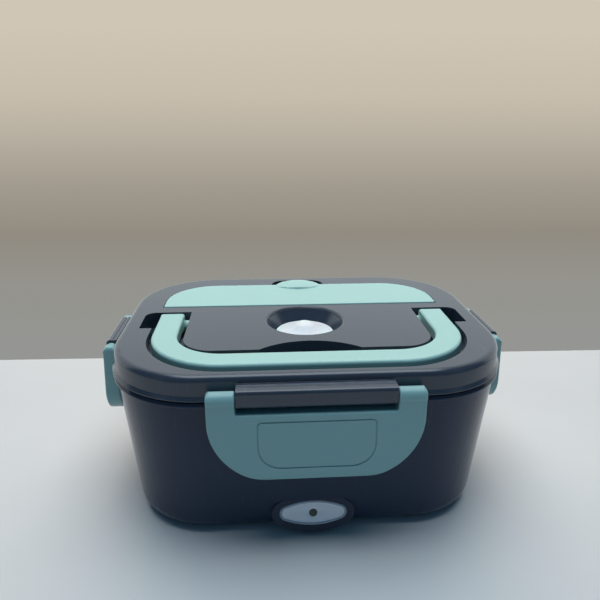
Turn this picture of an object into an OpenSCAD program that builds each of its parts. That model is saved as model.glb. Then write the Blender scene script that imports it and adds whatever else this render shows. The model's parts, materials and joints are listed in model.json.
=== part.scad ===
// Electric lunch box with four snap latches, a fold-flat handle and a cutlery bay in its lid.
// Millimetres. X runs left to right, Y front to back, Z up from the floor; the front faces -Y.
// Every wall follows one plan outline: an inset moves it inwards and its corners keep their centres.

/* [Plan] */
// Length of the lid, left to right
lid_l = 217; // [208:1:235]
// Width of the lid, front to back
lid_w = 161; // [155:1:172]
// Corner radius of the lid seen from above
corner_r = 51; // [47:1:54]
// Lean of every side wall, in degrees
draft = 5.3; // [4.4:0.1:5.6]

/* [Base] */
// Height of the base rim above the floor
rim_top = 86.5; // [80:0.5:95]
// Wall of the outer shell
shell_wall = 2.3; // [1.8:0.1:2.6]
// How far the rim flange stands out beyond the lid outline
flange_out = 0.9; // [0.6:0.1:1.1]
// Thickness of the rim flange that the latches hook under
flange_t = 2.2; // [1.8:0.1:3]
// How far the wall below the flange is set in from the lid outline
body_in = 0.7; // [0.5:0.1:0.9]
// Wall of the rim above the inner ledge
rim_wall = 4.0; // [3.6:0.1:4.2]
// Depth of the inner ledge below the rim
ledge_drop = 4.0; // [3.6:0.1:4.4]
// Width of the inner ledge
ledge_w = 3.4; // [3:0.1:4]
// Thickness of the inner ledge
ledge_t = 2.5; // [2:0.1:3.5]
// Rounding of the shell's bottom edge
bottom_r = 9.5; // [7:0.5:10]
// Thickness of the shell's floor ring
floor_t = 4.0; // [3.5:0.1:5]

/* [Bottom cover and feet] */
// Thickness of the bottom cover
cover_plate_t = 2.0; // [1.6:0.1:2.4]
// Width of the ledge that the bottom cover closes against
cover_ledge_w = 6.4; // [6:0.1:8]
// Height that a foot stands below the base
foot_h = 1.5; // [1:0.1:2.5]
// Radius of a foot
foot_r = 5.0; // [4:0.5:6]
// Shank radius of a bottom screw
screw_r = 1.5; // [1.25:0.05:1.7]
// Length of a bottom screw under its head
screw_l = 9; // [7:0.5:11]

/* [Liner and container] */
// Sheet thickness of the heat liner
liner_t = 1.0; // [0.8:0.1:1.2]
// Sheet thickness of the steel container
steel_t = 0.8; // [0.6:0.1:1]
// Gap all round between the liner and the container
liner_gap = 0.8; // [0.6:0.1:1]
// Inside depth of the steel container below its rim
container_depth = 62; // [50:1:62]
// Bottom rounding inside the steel container
container_r = 11; // [8:1:14]

/* [Side-dish tray] */
// Left edge of the side-dish tray, from the centre
tray_left = 22; // [5:1:35]
// Depth of the side-dish tray
tray_depth = 41; // [30:1:50]
// Wall of the side-dish tray
tray_wall = 1.3; // [1:0.1:1.6]
// Thickness of the tray's rim
tray_rim_t = 1.2; // [1:0.1:1.3]

/* [Lid] */
// Gap between the base rim and the lid skirt
seam_gap = 1.2; // [0.8:0.1:1.6]
// Height of the lid shell
lid_h = 12.9; // [12.9:0.1:16]
// Wall of the lid shell
lid_wall = 2.4; // [2:0.1:2.6]
// Rounding of the lid's top edge
lid_edge_r = 3.5; // [2.5:0.1:4]
// Lean of the lid's side wall, measured at its top
lid_lean = 0.5; // [0.2:0.1:0.8]
// Height of the bead round the lid's lower edge
bead_h = 2.7; // [2.2:0.1:3]
// How far the bead stands out
bead_out = 1.1; // [0.6:0.1:1.2]
// Skin left under the recesses of the lid
recess_skin = 1.6; // [1.2:0.1:1.8]
// Thickness of the inner panel
panel_t = 1.8; // [1.5:0.1:2]

/* [Handle] */
// Width of the handle's bar and arms
handle_w = 14.5; // [12:0.5:15.5]
// Height of the handle's bar
handle_t = 7.0; // [6:0.1:7.2]
// How far the folded handle stands above the lid
handle_proud = 1.2; // [0:0.1:1.5]
// Outer corner radius of the handle
handle_r = 42; // [34:1:44]
// Distance from the handle pivot's axis to the middle of the lid, towards the back
pivot_y = 1.0; // [-2:0.5:1.5]
// Depth of the pivot below the top of the lid
pivot_drop = 5.6; // [5.4:0.1:5.8]
// Radius of the handle's pivot stubs
stub_r = 2.0; // [1.6:0.1:2.2]
// Depth of the groove that the handle folds into
groove_depth = 7.1; // [7:0.1:7.6]
// Depth of the two pivot pockets
pocket_depth = 10.6; // [10.5:0.1:10.8]
// Band of lid left in front of the groove
front_band = 6.1; // [5.5:0.1:8]
// Band of lid left at each end of the groove
side_band = 17.8; // [16:0.1:21]
// Outer corner radius of the groove
groove_r = 45; // [36:1:47]
// Gap between the groove's side walls and the handle's arms
groove_gap = 2.3; // [1.5:0.1:3]
// Gap between the groove's front wall and the handle's bar
groove_front_gap = 5.1; // [4:0.1:6]
// Gap between the handle's arms and the middle block
block_gap = 3.8; // [3:0.1:4.5]
// Gap between the handle's bar and the middle block
block_front_gap = 5.3; // [4.5:0.1:8]
// Depth of the finger scoop, front to back
scoop_depth = 10.4; // [8:0.1:12]
// Width of the finger scoop
scoop_w = 55.6; // [45:0.1:65]

/* [Cutlery bay] */
// Front edge of the cutlery cover, from the middle of the lid
cover_front = 19.0; // [18:0.5:21]
// Inset of the cutlery cover from the lid outline
cover_inset = 19.5; // [18.5:0.1:21]
// Thickness of the cutlery cover
cover_t = 2.2; // [1.8:0.1:2.4]
// How far the cutlery cover stands above the lid
cover_proud = 0.5; // [0.2:0.1:0.8]
// Depth of the cutlery bay
bay_depth = 10.6; // [10:0.1:10.8]
// Length of the thumb tab
tab_l = 31; // [24:1:36]
// Width of the thumb tab
tab_w = 18; // [14:1:20]
// Radius of the cutlery cover's hinge stubs
cover_pin_r = 0.9; // [0.7:0.05:0.95]

/* [Steam valve] */
// Radius of the crater round the steam valve, at the lid's top
crater_r = 24.3; // [22:0.1:25]
// Depth of the crater
crater_depth = 9.0; // [8.8:0.1:9.2]
// Radius of the crater's floor
crater_floor_r = 18.2; // [17:0.1:19]
// Height of the valve's dome
dome_h = 7.2; // [6.4:0.1:7.6]
// Lift of the valve when it is pulled open
valve_lift = 4.0; // [2:0.5:4]

/* [Latches] */
// Half width of the front and rear latches
latch_half = 53.7; // [49:0.1:55]
// Half length of the front and rear hinge lugs
lug_half = 39.3; // [32:0.1:41]
// Half width of the side latches
side_latch_half = 26.5; // [24:0.5:27]
// Half length of the side hinge lugs
side_lug_half = 18.5; // [14:0.5:19]
// Drop of the front and rear latches below the base rim
latch_drop = 39.5; // [33:0.1:42]
// Drop of the side latches below the base rim
side_latch_drop = 39.5; // [33:0.1:42]
// Lower corner radius of the front and rear latches
latch_r = 33; // [24:1:34]
// Lower corner radius of the side latches
side_latch_r = 20; // [14:1:22]
// Distance of a latch's face from the lid wall
latch_stand = 8.6; // [8.3:0.1:9]
// Outward lean of a latch's face towards its lower edge, in degrees
latch_flare = 2.8; // [1:0.1:4]
// How far the side latches' pivots sit below those of the front and rear latches
side_pivot_drop = 1.3; // [0:0.1:1.4]
// Height of a lug above its pivot, at the front and rear
lug_rise = 5.7; // [5:0.1:6]
// Height of a side lug above its pivot
side_lug_rise = 4.9; // [4.6:0.1:5.4]
// Distance of a latch's pivot from the lid wall
latch_pivot_stand = 4.7; // [4.6:0.1:4.8]
// Wall of a latch
latch_wall = 2.2; // [1.6:0.1:2.6]
// Radius of a latch's pivot stubs
latch_pin_r = 1.4; // [1:0.05:1.5]

/* [Badge] */
// Width of the power badge
badge_w = 37; // [30:1:40]
// Height of the power badge
badge_h = 14.2; // [12:0.1:16]
// Thickness of the power badge
badge_t = 1.0; // [0.6:0.1:1.2]
// Height of the badge's middle above the floor
badge_z = 13.9; // [12:0.1:15]
// How far the badge's middle is set in from the lid outline
badge_in = 4.8; // [4.4:0.1:5.2]
// Backward lean of the badge, in degrees
badge_tilt = 12; // [8:0.5:13]
// Rim of the boss round the badge
badge_rim = 4.1; // [3:0.1:5]
// Radius of the indicator lens
lens_r = 2.2; // [1.5:0.1:2.5]

/* [Rear ports] */
// Width of the rear port frame
port_w = 64; // [58:1:72]
// Height of the rear port frame's top above the floor
port_top = 24.5; // [23:0.5:26]
// How far the port frame's face is set in from the lid outline
port_in = 2.5; // [2.2:0.1:3]
// Thickness of the rubber port cover
flap_t = 1.8; // [1.4:0.1:2.2]
// Spacing of the two inlets
inlet_space = 28; // [26:1:30]
// Barrel radius of the low-voltage inlet
dc_r = 2.75; // [2.5:0.05:3.2]

/* [Heater] */
// Radius of the heating plate
plate_r = 48; // [40:1:52]
// Thickness of the heating plate
plate_t = 3.0; // [2:0.1:3.5]

/* [Hidden] */
$fn = 72;

// Colours
slate = [0.17, 0.22, 0.28];
slate_top = [0.27, 0.31, 0.36];
mint = [0.55, 0.78, 0.72];
teal = [0.36, 0.56, 0.57];
milky = [0.88, 0.92, 0.93];
steel = [0.75, 0.77, 0.79];
alu = [0.80, 0.81, 0.82];
black = [0.08, 0.08, 0.09];
brass = [0.76, 0.62, 0.34];

// Small clearances
seat = 0.3;
run = 0.05;
snug = 0.1;
eps = 0.01;

// Plan values
half_l = lid_l / 2;
half_w = lid_w / 2;

// Heights in the base
base_z = foot_h;
flange_z = rim_top - flange_t;
ledge_z = rim_top - ledge_drop;
cover_recess = 0.6;

// Stack of rims on the inner ledge
flange_in = -flange_out;
rim_inner = flange_in + rim_wall;
liner_rim_in = rim_inner + 0.4;
liner_rim_top = ledge_z + liner_t;
liner_out = rim_inner + ledge_w + 0.5;
liner_in = liner_out + liner_t;
steel_rim_in = liner_rim_in + 0.2;
steel_rim_top = liner_rim_top + steel_t;
steel_out = liner_in + liner_gap;
steel_in = steel_out + steel_t;
container_floor = steel_rim_top - container_depth;
container_bottom = container_floor - steel_t;
liner_floor = container_bottom - seat;
liner_bottom = liner_floor - liner_t;

// Tray
tray_out = steel_in + 0.5;
tray_rim_in = steel_in - 1.5;
tray_rim_top = steel_rim_top + tray_rim_t;
tray_corner = tray_out + 17;
tray_x0 = tray_left - tray_out;

// Heights in the lid
skirt_z = rim_top + seam_gap;
lid_top = skirt_z + lid_h;
groove_z = lid_top - groove_depth;
pocket_z = lid_top - pocket_depth;
bay_z = lid_top - bay_depth;
crater_z = lid_top - crater_depth;
panel_top = min(pocket_z, bay_z) - recess_skin - 0.2;
panel_z = panel_top - panel_t;
lip_z = tray_rim_top + seat;

// Rings under the inner panel
panel_edge = steel_rim_in;
outer_lip_w = 1.2;
seal_out = panel_edge + outer_lip_w + 0.2;
seal_w = 2.6;
inner_lip_out = seal_out + seal_w + 0.2;
inner_lip_w = 1.4;

// Handle and groove
handle_x = half_l - side_band - groove_gap;
handle_y = half_w - front_band - groove_front_gap;
handle_cx = handle_x - handle_r;
handle_cy = -(handle_y - handle_r);
handle_top = lid_top + handle_proud;
handle_z = handle_top - handle_t;
handle_edge_r = 1.8;
pivot_z = lid_top - pivot_drop;
arm_end_r = 3.6;
block_x = handle_x - handle_w - block_gap;
block_y = handle_y - handle_w - block_front_gap;
block_r = 17;
pocket_x = half_l - 10.5;
pocket_front = -16;
pocket_back = pivot_y + 8.5;
pocket_r = 6;
groove_wall = 2;

// Cutlery bay
cover_gap = 0.5;
hinge_gap = 0.9;
cover_top = lid_top + cover_proud;
cover_z = cover_top - cover_t;
cover_x = half_l - cover_inset;
rebate_z = cover_z - seat;
bay_front = cover_front - hinge_gap;
bay_inset = cover_inset + 3.5;
cover_pin_y = cover_front + 2.2;
cover_pin_z = lid_top - 1.8;
knuckle_r = 1.6;
hinge_room = 3.2;
knuckle_l = 7.5;
cover_back = half_w - cover_inset;
tab_y = cover_back - 1.5;
tab_top = cover_top + 1.6;
dimple_depth = 4.2;

// Crater and valve
crater_y = bay_front - 0.8 - crater_r;
crater_edge_r = 1.5;
stem_r = 4.0;
stem_hole_r = 4.4;
dome_r = crater_floor_r - 0.7;
dome_z = crater_z + 0.4;
cap_r = 12;
cap_a = 32;
cap_z = dome_h - cap_r;
dome_lip = 0.8;
cap_reach = dome_r * sin(cap_a) + (dome_lip - cap_z) * cos(cap_a);
flank_far = dome_r * dome_r + (dome_lip - cap_z) * (dome_lip - cap_z);
flank_r = (flank_far - 2 * cap_r * cap_reach + cap_r * cap_r) / (2 * (cap_reach - cap_r));
barb_r = 5.2;
barb_top = crater_z - recess_skin - valve_lift - 0.2;

// Latches
latch_pivot_z = skirt_z + 3.4;
side_pivot_z = latch_pivot_z - side_pivot_drop;
ear_r = 4.2;
side_ear_r = 3.7;
hook_top = flange_z - seat;
hook_t = 2.0;
hook_reach = flange_in + 0.6;
pin_l = 6.5;

// Badge frame
badge_y = half_w - badge_in;
boss_w = badge_w + 2 * badge_rim + 0.2;
boss_h = badge_h + 2 * badge_rim + 0.2;

// Bottom fixing points
fix_x = half_l - corner_r + (corner_r - 23) * cos(45);
fix_y = half_w - corner_r + (corner_r - 23) * sin(45);
foot_x = fix_x - 8;
foot_y = fix_y - 8;
cover_out = 19.9;
cover_hole = cover_out - snug;
boss_z = base_z + cover_plate_t;
boss_l = screw_l;
pilot_r = screw_r - 0.2;
shank_r = pilot_r - run;

// Inlets
port_y = half_w - port_in;
inlet_z = 12.5;
port_z = 4.5;
port_frame = 4;
flap_w = port_w - 2 * port_frame;
flap_hinge_z = port_top - 3.2;
flap_pin_r = 0.8;
knuckle_port_r = 1.2;
panel_wall_y = port_y - flap_t - 0.6;
ac_x = -inlet_space / 2;
dc_x = inlet_space / 2;
ac_w = 21;
ac_h = 12;
ac_d = 19;
ac_pin_r = 1.2;
ac_pitch = 4.3;
dc_d = 13;
dc_pin_r = 1.0;

// Heater
plate_top = liner_bottom;
plate_bottom = plate_top - plate_t;
element_w = 52;
element_d = 24;
element_h = 5;
clamp_y = 18;
clamp_t = 1.6;
clamp_r = 1.5;
thermostat_x = 36;
wire_r = 0.9;
wire_z = plate_bottom - element_h + wire_r + 0.1;

// Indicator board
board_y = badge_y - 10.3;
board_t = 1.6;
board_z = badge_z - (badge_y - board_y) * tan(badge_tilt);
board_post_x = 10;
lens_l = 6.6;

// Handle stubs and finger scoop
stub_len = 5;
scoop_r = (scoop_w * scoop_w / 4 + scoop_depth * scoop_depth) / (2 * scoop_depth);

// Cutlery
spoon_y = 38;
spoon_z = bay_z + 5.6;
cutlery_t = 1.2;

// Outline of the box seen from above, moved inwards by inset
module plan(inset, x0 = -half_l, r0 = corner_r) {
    mid_x = half_l - corner_r - x0 - r0;
    translate([x0 + r0, inset - half_w]) square([mid_x, lid_w - 2 * inset]);
    translate([x0 + inset, r0 - half_w]) square([r0 - inset, lid_w - 2 * r0]);
    translate([half_l - corner_r, corner_r - half_w]) square([corner_r - inset, lid_w - 2 * corner_r]);
    for (side = [-1, 1]) {
        translate([x0 + r0, side * (half_w - r0)]) circle(r0 - inset);
        translate([half_l - corner_r, side * (half_w - corner_r)]) circle(corner_r - inset);
    }
}

// Sweeps a section round the outline: section x is minus the inset, section y is the height
module sweep(x0 = -half_l, r0 = corner_r) {
    run_l = half_l - corner_r - x0 - r0;
    for (side = [-1, 1]) {
        translate([half_l - corner_r, side * (half_w - corner_r), 0])
            rotate([0, 0, side > 0 ? 0 : -90])
                rotate_extrude(angle = 90) translate([corner_r, 0]) children();
        translate([x0 + r0, side * (half_w - r0), 0])
            rotate([0, 0, side > 0 ? 90 : 180])
                rotate_extrude(angle = 90) translate([r0, 0]) children();
    }
    translate([half_l, half_w - corner_r, 0]) rotate([90, 0, 0])
        linear_extrude(lid_w - 2 * corner_r) children();
    translate([x0, r0 - half_w, 0]) rotate([90, 0, 180]) linear_extrude(lid_w - 2 * r0) children();
    translate([x0 + r0, half_w, 0]) rotate([90, 0, 90]) linear_extrude(run_l) children();
    translate([half_l - corner_r, -half_w, 0]) rotate([90, 0, -90]) linear_extrude(run_l) children();
}

// Section of a tapered wall with a rounded foot, at the given inset at its top
module tub_section(at, z1, z0, fillet, reach) {
    z_c = z0 + fillet;
    x_c = -at - (z1 - z_c) * tan(draft) - fillet / cos(draft);
    polygon([[-reach, z0], [x_c, z0], [x_c + fillet * cos(draft), z_c - fillet * sin(draft)],
        [-at, z1], [-reach, z1]]);
    translate([x_c, z_c]) intersection() {
        circle(fillet);
        translate([0, -fillet]) square([fillet, 2 * fillet]);
    }
}

// Solid tapered tub from z0 to z1
module tub(at, z1, z0, fillet) {
    // Whole millimetres, so the sweep and its core share a plane
    reach = ceil(at + (z1 - z0) * tan(draft) + fillet + 1);
    sweep() tub_section(at, z1, z0, fillet, reach);
    translate([0, 0, z0]) linear_extrude(z1 - z0) plan(reach);
}

// Flat ring between two insets
module ring(outer, inner, z0, z1) {
    translate([0, 0, z0]) linear_extrude(z1 - z0) difference() {
        plan(outer);
        plan(inner);
    }
}

// Oval of four arcs, centred
module oval(w, h) {
    end_r = h * 0.31;
    a = w / 2 - end_r;
    big_r = (a * a + h * h / 4 - end_r * end_r) / (h - 2 * end_r);
    tip_x = a + end_r * a / (big_r - end_r);
    intersection() {
        translate([0, h / 2 - big_r]) circle(big_r);
        translate([0, big_r - h / 2]) circle(big_r);
        square([2 * tip_x, h], center = true);
    }
    for (side = [-1, 1]) translate([side * a, 0]) circle(end_r);
}

// Rectangle with round corners, centred
module pad(w, h, r) {
    square([w - 2 * r, h], center = true);
    square([w, h - 2 * r], center = true);
    for (sx = [-1, 1], sy = [-1, 1]) translate([sx * (w / 2 - r), sy * (h / 2 - r)]) circle(r);
}

// Rod along X from x0 to x1
module rod_x(x0, x1, y, z, r) {
    translate([x0, y, z]) rotate([0, 90, 0]) cylinder(h = x1 - x0, r = r);
}

// Rod along Y from y0 to y1
module rod_y(x, y0, y1, z, r) {
    translate([x, y1, z]) rotate([90, 0, 0]) cylinder(h = y1 - y0, r = r);
}

// Puts children at the four fixing corners of the base
module at_corners(x, y, z) {
    for (sx = [-1, 1], sy = [-1, 1]) translate([sx * x, sy * y, z]) children();
}

// Frame of the badge: its middle is the origin and its outward normal is +Z
module at_badge() {
    translate([0, -badge_y, badge_z]) rotate([90 - badge_tilt, 0, 0]) children();
}

// BASE

module outer_shell() color(slate) difference() {
    union() {
        difference() {
            union() {
                tub(body_in, flange_z, base_z, bottom_r);
                rim_flange();
                badge_boss();
                port_boss();
            }
            shell_hollow();
        }
        at_corners(fix_x, fix_y, boss_z) cylinder(h = boss_l, r = screw_r + 1.9);
        // Posts that carry the indicator board
        for (side = [-1, 1]) rod_y(side * board_post_x, -badge_y + 3, -board_y, board_z, 2.4);
    }
    for (side = [-1, 1]) rod_y(side * board_post_x, -board_y - 4, -board_y + 1, board_z, 0.9);
    at_corners(fix_x, fix_y, boss_z - eps) cylinder(h = boss_l + 2 * eps, r = pilot_r);
    badge_seat();
    port_openings();
}

// Rim flange whose top edge slopes like the lid's bead
module rim_flange() {
    reach = 12;
    slope = 1.4;
    sweep() polygon([[-reach, flange_z], [flange_out, flange_z], [flange_out, rim_top - slope],
        [flange_out - slope * 0.8, rim_top], [-reach, rim_top]]);
    translate([0, 0, flange_z]) linear_extrude(flange_t) plan(reach);
}

// Hollow of the shell with its ledge, its rim and the opening for the bottom cover
module shell_hollow() {
    ledge_low = ledge_z - ledge_t;
    // Wall line at the underside of the ledge
    low_in = body_in + shell_wall + (flange_z - ledge_low) * tan(draft);
    tub(low_in, ledge_low, base_z + floor_t, bottom_r - shell_wall);
    translate([0, 0, ledge_low - eps]) linear_extrude(ledge_t + 2 * eps) plan(rim_inner + ledge_w);
    translate([0, 0, ledge_z]) linear_extrude(ledge_drop + eps) plan(rim_inner);
    translate([0, 0, base_z - eps]) linear_extrude(cover_plate_t + eps) plan(cover_hole);
    translate([0, 0, base_z]) linear_extrude(floor_t + eps) plan(cover_hole + cover_ledge_w);
}

// Oval boss that carries the badge
module badge_boss() intersection() {
    at_badge() translate([0, 0, -14]) linear_extrude(14) oval(boss_w, boss_h);
    translate([-boss_w, -half_w, base_z]) cube([2 * boss_w, half_w, boss_h + 6]);
}

// Recess for the badge and the hole for the indicator
module badge_seat() at_badge() {
    translate([0, 0, -badge_t]) linear_extrude(badge_t + 1) oval(badge_w + 0.2, badge_h + 0.2);
    translate([0, 0, -16]) cylinder(h = 20, r = lens_r + run);
}

// Boss that frames the rear ports
module port_boss() intersection() {
    translate([0, port_y, 0]) rotate([90, 0, 0]) linear_extrude(12) pad(port_w, 2 * port_top, 8);
    translate([-half_l, 0, base_z]) cube([lid_l, half_w, port_top - base_z]);
}

// Recess for the port cover, hinge bores and the two inlet openings
module port_openings() {
    flap_low = port_z - 0.5;
    translate([-flap_w / 2 - 0.4, panel_wall_y, flap_low])
        cube([flap_w + 0.8, 10, flap_hinge_z + 1.9 - flap_low]);
    rod_x(-flap_w / 2 - 2.4, flap_w / 2 + 2.4, port_y - flap_t / 2 - 0.1, flap_hinge_z, flap_pin_r + run);
    translate([ac_x, panel_wall_y - 20, inlet_z]) rotate([-90, 0, 0])
        linear_extrude(30) pad(ac_w + 0.2, ac_h + 0.2, 3);
    rod_y(dc_x, panel_wall_y - 20, panel_wall_y + 10, inlet_z, dc_r + 1.8 + run);
    // Finger notch under the port cover
    translate([0, port_y + 3, port_z]) sphere(6);
}

module bottom_cover() color(slate) difference() {
    translate([0, 0, base_z]) linear_extrude(cover_plate_t) plan(cover_out);
    at_corners(fix_x, fix_y, base_z - eps) {
        cylinder(h = cover_plate_t + 1, r = screw_r + 0.25);
        cylinder(h = 1.2 + 2 * eps, r = screw_r + 1.4);
    }
    at_corners(foot_x, foot_y, base_z - eps) cylinder(h = cover_recess + eps, r = foot_r + 0.1);
    // Vent slots under the heating plate
    for (i = [-3:3]) translate([i * 9, 0, base_z - eps])
        linear_extrude(cover_plate_t + 1) pad(2.4, 26, 1.1);
}

module bottom_screws() color(steel) at_corners(fix_x, fix_y, base_z) difference() {
    union() {
        translate([0, 0, 0.2]) cylinder(h = 1, r = screw_r + 1.2);
        translate([0, 0, 1]) cylinder(h = screw_l, r = shank_r);
    }
    for (turn = [0, 90]) rotate([0, 0, turn])
        translate([-1.3, -0.25, 0]) cube([2.6, 0.5, 0.8]);
}

module rubber_feet() color(black) at_corners(foot_x, foot_y, 0) rotate_extrude() difference() {
    union() {
        square([foot_r - 0.5, foot_h + cover_recess]);
        translate([0, 0.5]) square([foot_r, foot_h + cover_recess - 0.5]);
        translate([foot_r - 0.5, 0.5]) circle(0.5);
    }
    translate([-2, -1]) square([2, 6]);
}

module heat_liner() color(alu) {
    wall_top = liner_rim_top;
    difference() {
        tub(liner_out, wall_top, liner_bottom, container_r + liner_gap + steel_t + liner_t);
        tub(liner_in, wall_top + eps, liner_floor, container_r + liner_gap + steel_t);
    }
    ring(liner_rim_in, liner_out + 0.4, ledge_z, liner_rim_top);
}

module steel_container() color(steel) {
    difference() {
        tub(steel_out, steel_rim_top, container_bottom, container_r + steel_t);
        tub(steel_in, steel_rim_top + eps, container_floor, container_r);
    }
    ring(steel_rim_in, steel_out + 0.4, liner_rim_top, steel_rim_top);
}

module side_dish_tray() color(milky) {
    low = steel_rim_top - tray_depth;
    round_r = 8;
    difference() {
        union() {
            tray_form(tray_out, tray_rim_top, low, round_r);
            translate([0, 0, steel_rim_top]) linear_extrude(tray_rim_t)
                plan(tray_rim_in, tray_x0, tray_corner);
        }
        tray_form(tray_out + tray_wall, tray_rim_top + eps, low + tray_wall, round_r - tray_wall);
    }
}

// Tapered form of the tray: its swept wall round a core of overlapping blocks
module tray_form(at, z1, z0, fillet) {
    reach = ceil(at + (z1 - z0) * tan(draft) + fillet + 1);
    left = tray_x0 + tray_corner;
    right = half_l - corner_r;
    sweep(tray_x0, tray_corner) tub_section(at, z1, z0, fillet, reach);
    translate([0, 0, z0]) {
        translate([tray_x0 + reach - 1, tray_corner - half_w, 0])
            cube([tray_corner - reach + 2, lid_w - 2 * tray_corner, z1 - z0]);
        translate([left, reach - half_w - 1, 0]) cube([right - left, lid_w - 2 * reach + 2, z1 - z0]);
        translate([right - 1, corner_r - half_w, 0])
            cube([corner_r - reach + 2, lid_w - 2 * corner_r, z1 - z0]);
        for (side = [-1, 1]) {
            translate([left, side * (half_w - tray_corner), 0])
                cylinder(h = z1 - z0, r = tray_corner - reach + 1);
            translate([right, side * (half_w - corner_r), 0])
                cylinder(h = z1 - z0, r = corner_r - reach + 1);
        }
    }
}

module heating_plate() color(alu) difference() {
    translate([0, 0, plate_bottom]) cylinder(h = plate_t, r = plate_r);
    for (side = [-1, 1]) translate([0, side * clamp_y, plate_bottom - eps])
        cylinder(h = plate_t - 1, r = clamp_r + run);
}

// Sealed element in a flat case, pressed up against the plate
module heater_element() color(steel) difference() {
    union() {
        translate([0, 0, plate_bottom - element_h]) linear_extrude(element_h) pad(element_w, element_d, 4);
        translate([0, 0, plate_bottom - clamp_t]) linear_extrude(clamp_t) pad(14, 2 * clamp_y + 10, 4);
    }
    for (side = [-1, 1]) translate([0, side * clamp_y, plate_bottom - clamp_t - eps])
        cylinder(h = clamp_t + 1, r = clamp_r + 0.2);
}

module heater_screws() color(steel) for (side = [-1, 1])
    translate([0, side * clamp_y, plate_bottom - clamp_t]) difference() {
        union() {
            translate([0, 0, -2]) cylinder(h = 2, r = clamp_r + 1.5);
            translate([0, 0, -0.1]) cylinder(h = clamp_t + plate_t - 1.2, r = clamp_r);
        }
        translate([-1.6, -0.3, -2.01]) cube([3.2, 0.6, 0.9]);
    }

module thermostat() color(black) translate([thermostat_x, 0, 0]) {
    translate([0, 0, plate_bottom - 6.5]) cylinder(h = 6.5, r = 7);
    translate([0, 0, plate_bottom - 1]) linear_extrude(1) pad(7, 21, 2);
    for (side = [-1, 1]) translate([-1.5, side * 4 - 0.4, plate_bottom - 10]) cube([3, 0.8, 3.6]);
}

module thermal_fuse() color(milky) {
    rod_y(-thermostat_x, -11, 11, plate_bottom - 2.2, 2.2);
    rod_y(-thermostat_x, -17, 17, plate_bottom - 2.2, 0.6);
}

// Leads run straight between the inlets, the heater parts and the indicator board
module lead_wires() color(black) {
    for (side = [-1, 1])
        rod_y(ac_x + side * ac_pitch, element_d / 2, panel_wall_y - ac_d - 3, wire_z, wire_r);
    for (side = [-1, 1])
        rod_y(dc_x + side * 2, element_d / 2, panel_wall_y - dc_d, wire_z, wire_r);
    for (side = [-1, 1])
        rod_y(side * 5, -board_y + board_t, -element_d / 2, wire_z, wire_r);
}

module ac_inlet() color(black) difference() {
    translate([ac_x, panel_wall_y, inlet_z]) rotate([90, 0, 0]) linear_extrude(ac_d) pad(ac_w, ac_h, 3);
    translate([ac_x, panel_wall_y + 1, inlet_z]) rotate([90, 0, 0]) linear_extrude(12) {
        for (side = [-1, 1]) translate([side * 3.4, 0]) circle(4.1);
        square([6.8, 6.4], center = true);
    }
    for (side = [-1, 1])
        rod_y(ac_x + side * ac_pitch, panel_wall_y - ac_d - 1, panel_wall_y, inlet_z, ac_pin_r);
}

module ac_inlet_pins() color(brass) for (side = [-1, 1]) {
    rod_y(ac_x + side * ac_pitch, panel_wall_y - ac_d - 3, panel_wall_y - 2, inlet_z, ac_pin_r);
    translate([ac_x + side * ac_pitch, panel_wall_y - 2, inlet_z]) sphere(ac_pin_r);
}

module dc_inlet() color(black) difference() {
    union() {
        rod_y(dc_x, panel_wall_y - dc_d, panel_wall_y, inlet_z, dc_r + 1.8);
        translate([dc_x - 5.5, panel_wall_y - dc_d, inlet_z - 5.5]) cube([11, 5, 11]);
    }
    rod_y(dc_x, panel_wall_y - 9.5, panel_wall_y + 1, inlet_z, dc_r);
    rod_y(dc_x, panel_wall_y - dc_d - 1, panel_wall_y, inlet_z, dc_pin_r);
}

module dc_inlet_pin() color(brass) {
    rod_y(dc_x, panel_wall_y - dc_d - 3, panel_wall_y - 1.5, inlet_z, dc_pin_r);
    translate([dc_x, panel_wall_y - 1.5, inlet_z]) sphere(dc_pin_r);
}

// Rubber flap that hangs from two stubs at its top edge
module port_cover() color(black) {
    flap_y = port_y - flap_t / 2 - 0.1;
    difference() {
        union() {
            translate([0, flap_y + flap_t / 2, 0]) rotate([90, 0, 0]) linear_extrude(flap_t)
                translate([0, (port_z + flap_hinge_z) / 2]) pad(flap_w, flap_hinge_z - port_z, 1.5);
            rod_x(-flap_w / 2, flap_w / 2, flap_y, flap_hinge_z, knuckle_port_r);
        }
        // Shallow grip line
        rod_x(-12, 12, port_y + 0.9, port_z + 3, 1.2);
    }
    rod_x(-flap_w / 2 - 2, flap_w / 2 + 2, flap_y, flap_hinge_z, flap_pin_r);
}

module power_badge() color(milky) at_badge() difference() {
    translate([0, 0, -badge_t]) linear_extrude(badge_t) oval(badge_w, badge_h);
    translate([0, 0, -badge_t - 1]) cylinder(h = badge_t + 2, r = lens_r + run);
}

module indicator_lens() color([0.1, 0.35, 0.15]) at_badge() {
    translate([0, 0, -lens_l]) cylinder(h = lens_l - 0.3, r = lens_r);
}

module indicator_board() color([0.1, 0.4, 0.2]) difference() {
    union() {
        translate([0, -board_y + board_t, board_z]) rotate([90, 0, 0])
            linear_extrude(board_t) pad(26, 11, 1);
        rod_y(0, -board_y - 3, -board_y, board_z, 1.5);
    }
    for (side = [-1, 1]) rod_y(side * board_post_x, -board_y - 1, -board_y + 4, board_z, 1.1);
}

// LID

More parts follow.
